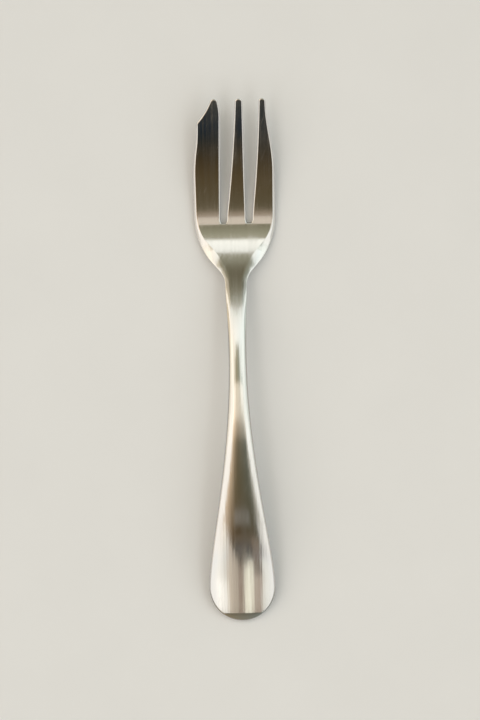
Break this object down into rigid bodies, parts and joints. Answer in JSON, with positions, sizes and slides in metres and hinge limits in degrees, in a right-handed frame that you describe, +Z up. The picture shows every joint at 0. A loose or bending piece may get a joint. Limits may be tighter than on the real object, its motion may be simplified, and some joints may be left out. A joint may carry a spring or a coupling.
{
  "type": "pastry fork",
  "caption": "Pastry fork pressed from stainless steel, with a wide slanted cutting tine, slim tapering tines, a narrow neck and a flared, round-ended handle.",
  "frame": {"origin": "middle of the fork's length and width, on the table that it lies on", "axes": "+Y along the fork towards the tine tips, +X to the right with the tips pointing away, +Z up from the table"},
  "size_m": [0.023, 0.148, 0.0111],
  "materials": {
    "stainless_steel": "polished"
  },
  "bodies": {
    "root": {"handle": "stainless_steel", "neck": "stainless_steel", "head": "stainless_steel", "cutting_tine": "stainless_steel", "middle_tine": "stainless_steel", "outer_tine": "stainless_steel"}
  },
  "joints": []
}
